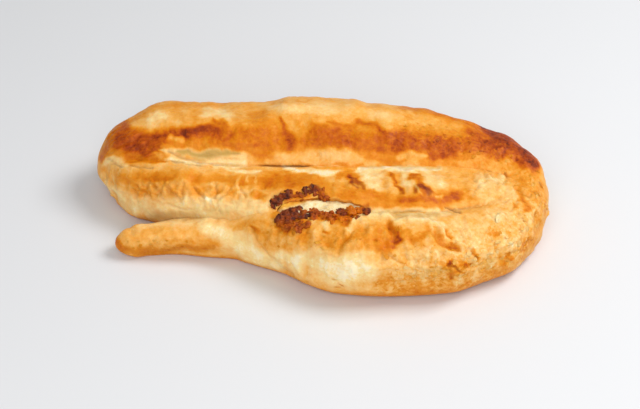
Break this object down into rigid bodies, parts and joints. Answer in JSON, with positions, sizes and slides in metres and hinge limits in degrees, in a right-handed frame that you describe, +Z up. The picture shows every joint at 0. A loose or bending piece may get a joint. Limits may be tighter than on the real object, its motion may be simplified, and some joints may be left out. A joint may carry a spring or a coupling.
{
  "type": "burek",
  "caption": "Baked burek: a long filo roll laid in a flat oval coil with a thin loose tail, its cheese filling burst out along a seam. Lies flat on a plate or tray.",
  "frame": {"origin": "on the flat underside, below the middle of the coil's bounding box", "axes": "+X along the coil's length, from the fold and the tail to the round end; +Y from the front arm to the back arm; +Z up"},
  "size_m": [0.2156, 0.1206, 0.042],
  "materials": {
    "baked_filo": "oiled filo crust baked golden, with browned ridges and cream sides",
    "white_cheese": "moist crumbly white cheese"
  },
  "bodies": {
    "root": {"pastry_roll": "baked_filo", "cheese_filling": "white_cheese"}
  },
  "joints": []
}
